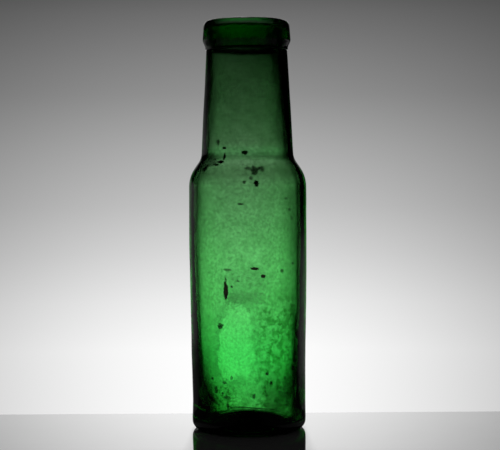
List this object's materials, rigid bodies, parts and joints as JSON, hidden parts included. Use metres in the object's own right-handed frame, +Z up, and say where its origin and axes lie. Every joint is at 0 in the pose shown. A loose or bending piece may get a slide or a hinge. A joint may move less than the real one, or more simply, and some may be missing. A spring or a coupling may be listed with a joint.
{
  "type": "antique glass bottle",
  "caption": "Wide-mouthed green glass bottle: straight blown body, sloping shoulder, tall tapered neck, thick applied lip and a low kicked-up base, with dried residue and a label scrap.",
  "frame": {"origin": "middle of the ring that the bottle stands on, in the plane of the surface under it", "axes": "+Z up along the bottle's axis towards the mouth, -Y towards the front of the picture, +X to its right"},
  "size_m": [0.0438, 0.044, 0.1514],
  "materials": {
    "green_glass": "glossy hand-blown glass with seeds and faint waves",
    "lip_glass": "glossy tooled glass",
    "old_label": "thin matt gum and paper fibres",
    "dried_crust": "matt dried crust",
    "dried_film": "matt dried film"
  },
  "bodies": {
    "root": {"bottle_body": "green_glass", "applied_lip": "lip_glass", "label_remnant": "old_label", "shoulder_residue": "dried_crust", "wall_residue": "dried_film"}
  },
  "joints": []
}
